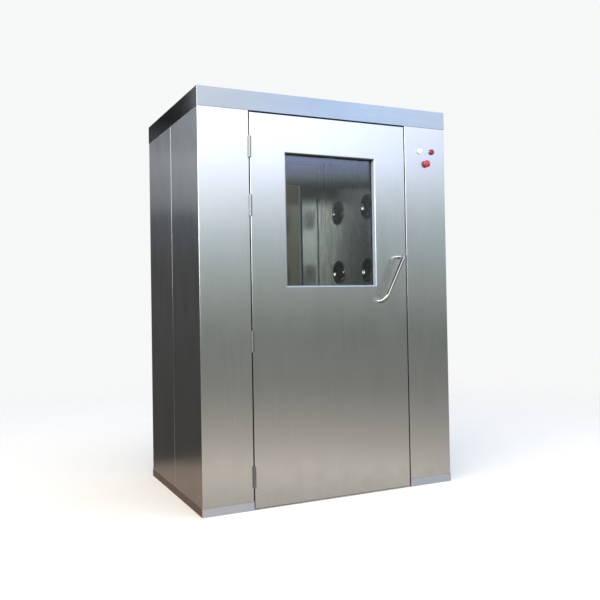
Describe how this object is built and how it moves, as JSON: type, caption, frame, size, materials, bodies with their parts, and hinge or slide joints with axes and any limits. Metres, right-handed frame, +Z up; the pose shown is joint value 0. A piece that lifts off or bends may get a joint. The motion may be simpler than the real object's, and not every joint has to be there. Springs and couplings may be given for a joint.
{
  "type": "cleanroom air shower",
  "caption": "Walk-through stainless steel cabinet with a hinged windowed door at each end, jet nozzles in both inner walls, indicator lamps and a red push button beside each door.",
  "frame": {"origin": "on the ground at the centre of the footprint", "axes": "+Z up, front door faces -Y, +X to the right of someone facing the front door"},
  "size_m": [1.4, 1.038, 2],
  "materials": {
    "brushed_steel_panel": "vertical hairline brushed stainless steel",
    "brushed_steel_header": "horizontal hairline brushed stainless steel",
    "brushed_steel_base": "brushed stainless steel, slightly duller at the ground",
    "brushed_steel_inner": "satin brushed stainless steel",
    "polished_steel": "mirror polished tube",
    "chrome_nozzles": "chromed spun bowls and balls",
    "hinge_steel": "satin steel",
    "window_glass": "clear toughened glass, faint green edge",
    "black_rubber": "matt black rubber",
    "grey_gasket": "pale grey satin glazing strip",
    "white_lens": "white moulded lens",
    "red_lens": "deep red clear moulded lens",
    "control_base": "satin chromed bezel ring",
    "red_button": "red moulded mushroom head",
    "light_diffuser": "opal diffuser"
  },
  "bodies": {
    "cabinet": {"base_left": "brushed_steel_base", "base_right": "brushed_steel_base", "button_collars": "control_base", "ceiling_light": "light_diffuser", "ceiling_panel": "brushed_steel_inner", "door_head_front": "brushed_steel_inner", "door_head_rear": "brushed_steel_inner", "door_jambs_front": "brushed_steel_inner", "door_jambs_rear": "brushed_steel_inner", "door_seals": "black_rubber", "floor_deck": "brushed_steel_base", "front_panel_left": "brushed_steel_panel", "front_panel_right": "brushed_steel_panel", "header_front": "brushed_steel_header", "header_left": "brushed_steel_header", "header_rear": "brushed_steel_header", "header_right": "brushed_steel_header", "hinge_halves_fixed": "hinge_steel", "inner_wall_left": "brushed_steel_inner", "inner_wall_right": "brushed_steel_inner", "lamp_bases": "control_base", "nozzle_balls": "chrome_nozzles", "nozzle_bowls": "chrome_nozzles", "rear_panel_left": "brushed_steel_panel", "rear_panel_right": "brushed_steel_panel", "red_lamps": "red_lens", "return_grilles": "brushed_steel_inner", "roof_panel": "brushed_steel_header", "side_panel_left_front": "brushed_steel_panel", "side_panel_left_rear": "brushed_steel_panel", "side_panel_right_front": "brushed_steel_panel", "side_panel_right_rear": "brushed_steel_panel", "white_lamps": "white_lens"},
    "front_door": {"door_handle_front": "polished_steel", "door_leaf_front": "brushed_steel_panel", "hinge_halves_front_door": "hinge_steel", "window_glass_front": "window_glass", "window_seal_front": "grey_gasket"},
    "rear_door": {"door_handle_rear": "polished_steel", "door_leaf_rear": "brushed_steel_panel", "hinge_halves_rear_door": "hinge_steel", "window_glass_rear": "window_glass", "window_seal_rear": "grey_gasket"},
    "front_button": {"stop_button_front": "red_button"},
    "rear_button": {"stop_button_rear": "red_button"}
  },
  "joints": [
    {"name": "front_door_hinge", "type": "hinge", "parent": "cabinet", "child": "front_door", "pos_m": [-0.441, -0.4655, 1], "axis": [0, 0, -1], "range_deg": [0, 110]},
    {"name": "rear_door_hinge", "type": "hinge", "parent": "cabinet", "child": "rear_door", "pos_m": [0.441, 0.4655, 1], "axis": [0, 0, -1], "range_deg": [0, 110]},
    {"name": "front_button_press", "type": "slide", "parent": "cabinet", "child": "front_button", "axis": [0, 1, 0], "range_m": [0, 0.005], "stiffness_N_per_m": 400},
    {"name": "rear_button_press", "type": "slide", "parent": "cabinet", "child": "rear_button", "axis": [0, -1, 0], "range_m": [0, 0.005], "stiffness_N_per_m": 400}
  ]
}
